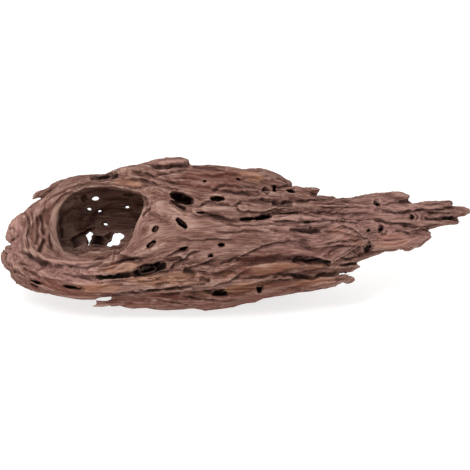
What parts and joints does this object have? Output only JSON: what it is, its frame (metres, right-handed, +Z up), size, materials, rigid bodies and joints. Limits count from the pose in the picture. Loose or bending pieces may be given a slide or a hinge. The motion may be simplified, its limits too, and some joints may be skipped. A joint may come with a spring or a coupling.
{
  "type": "honeycomb driftwood",
  "caption": "Weathered log piece with a hollow behind an oval mouth, worm bores, ridged grain and a splintered tail.",
  "frame": {"origin": "under the middle of the piece's box, on the surface that it rests on", "axes": "+X along the grain from the hollow broad end to the splintered tail, +Z up, -Y out of the mouth of the hollow"},
  "size_m": [0.4225, 0.1364, 0.1307],
  "materials": {
    "weathered_wood": "weathered, dry and matt, with grey-brown raised grain and dark red-brown furrows"
  },
  "bodies": {
    "root": {"driftwood": "weathered_wood"}
  },
  "joints": []
}
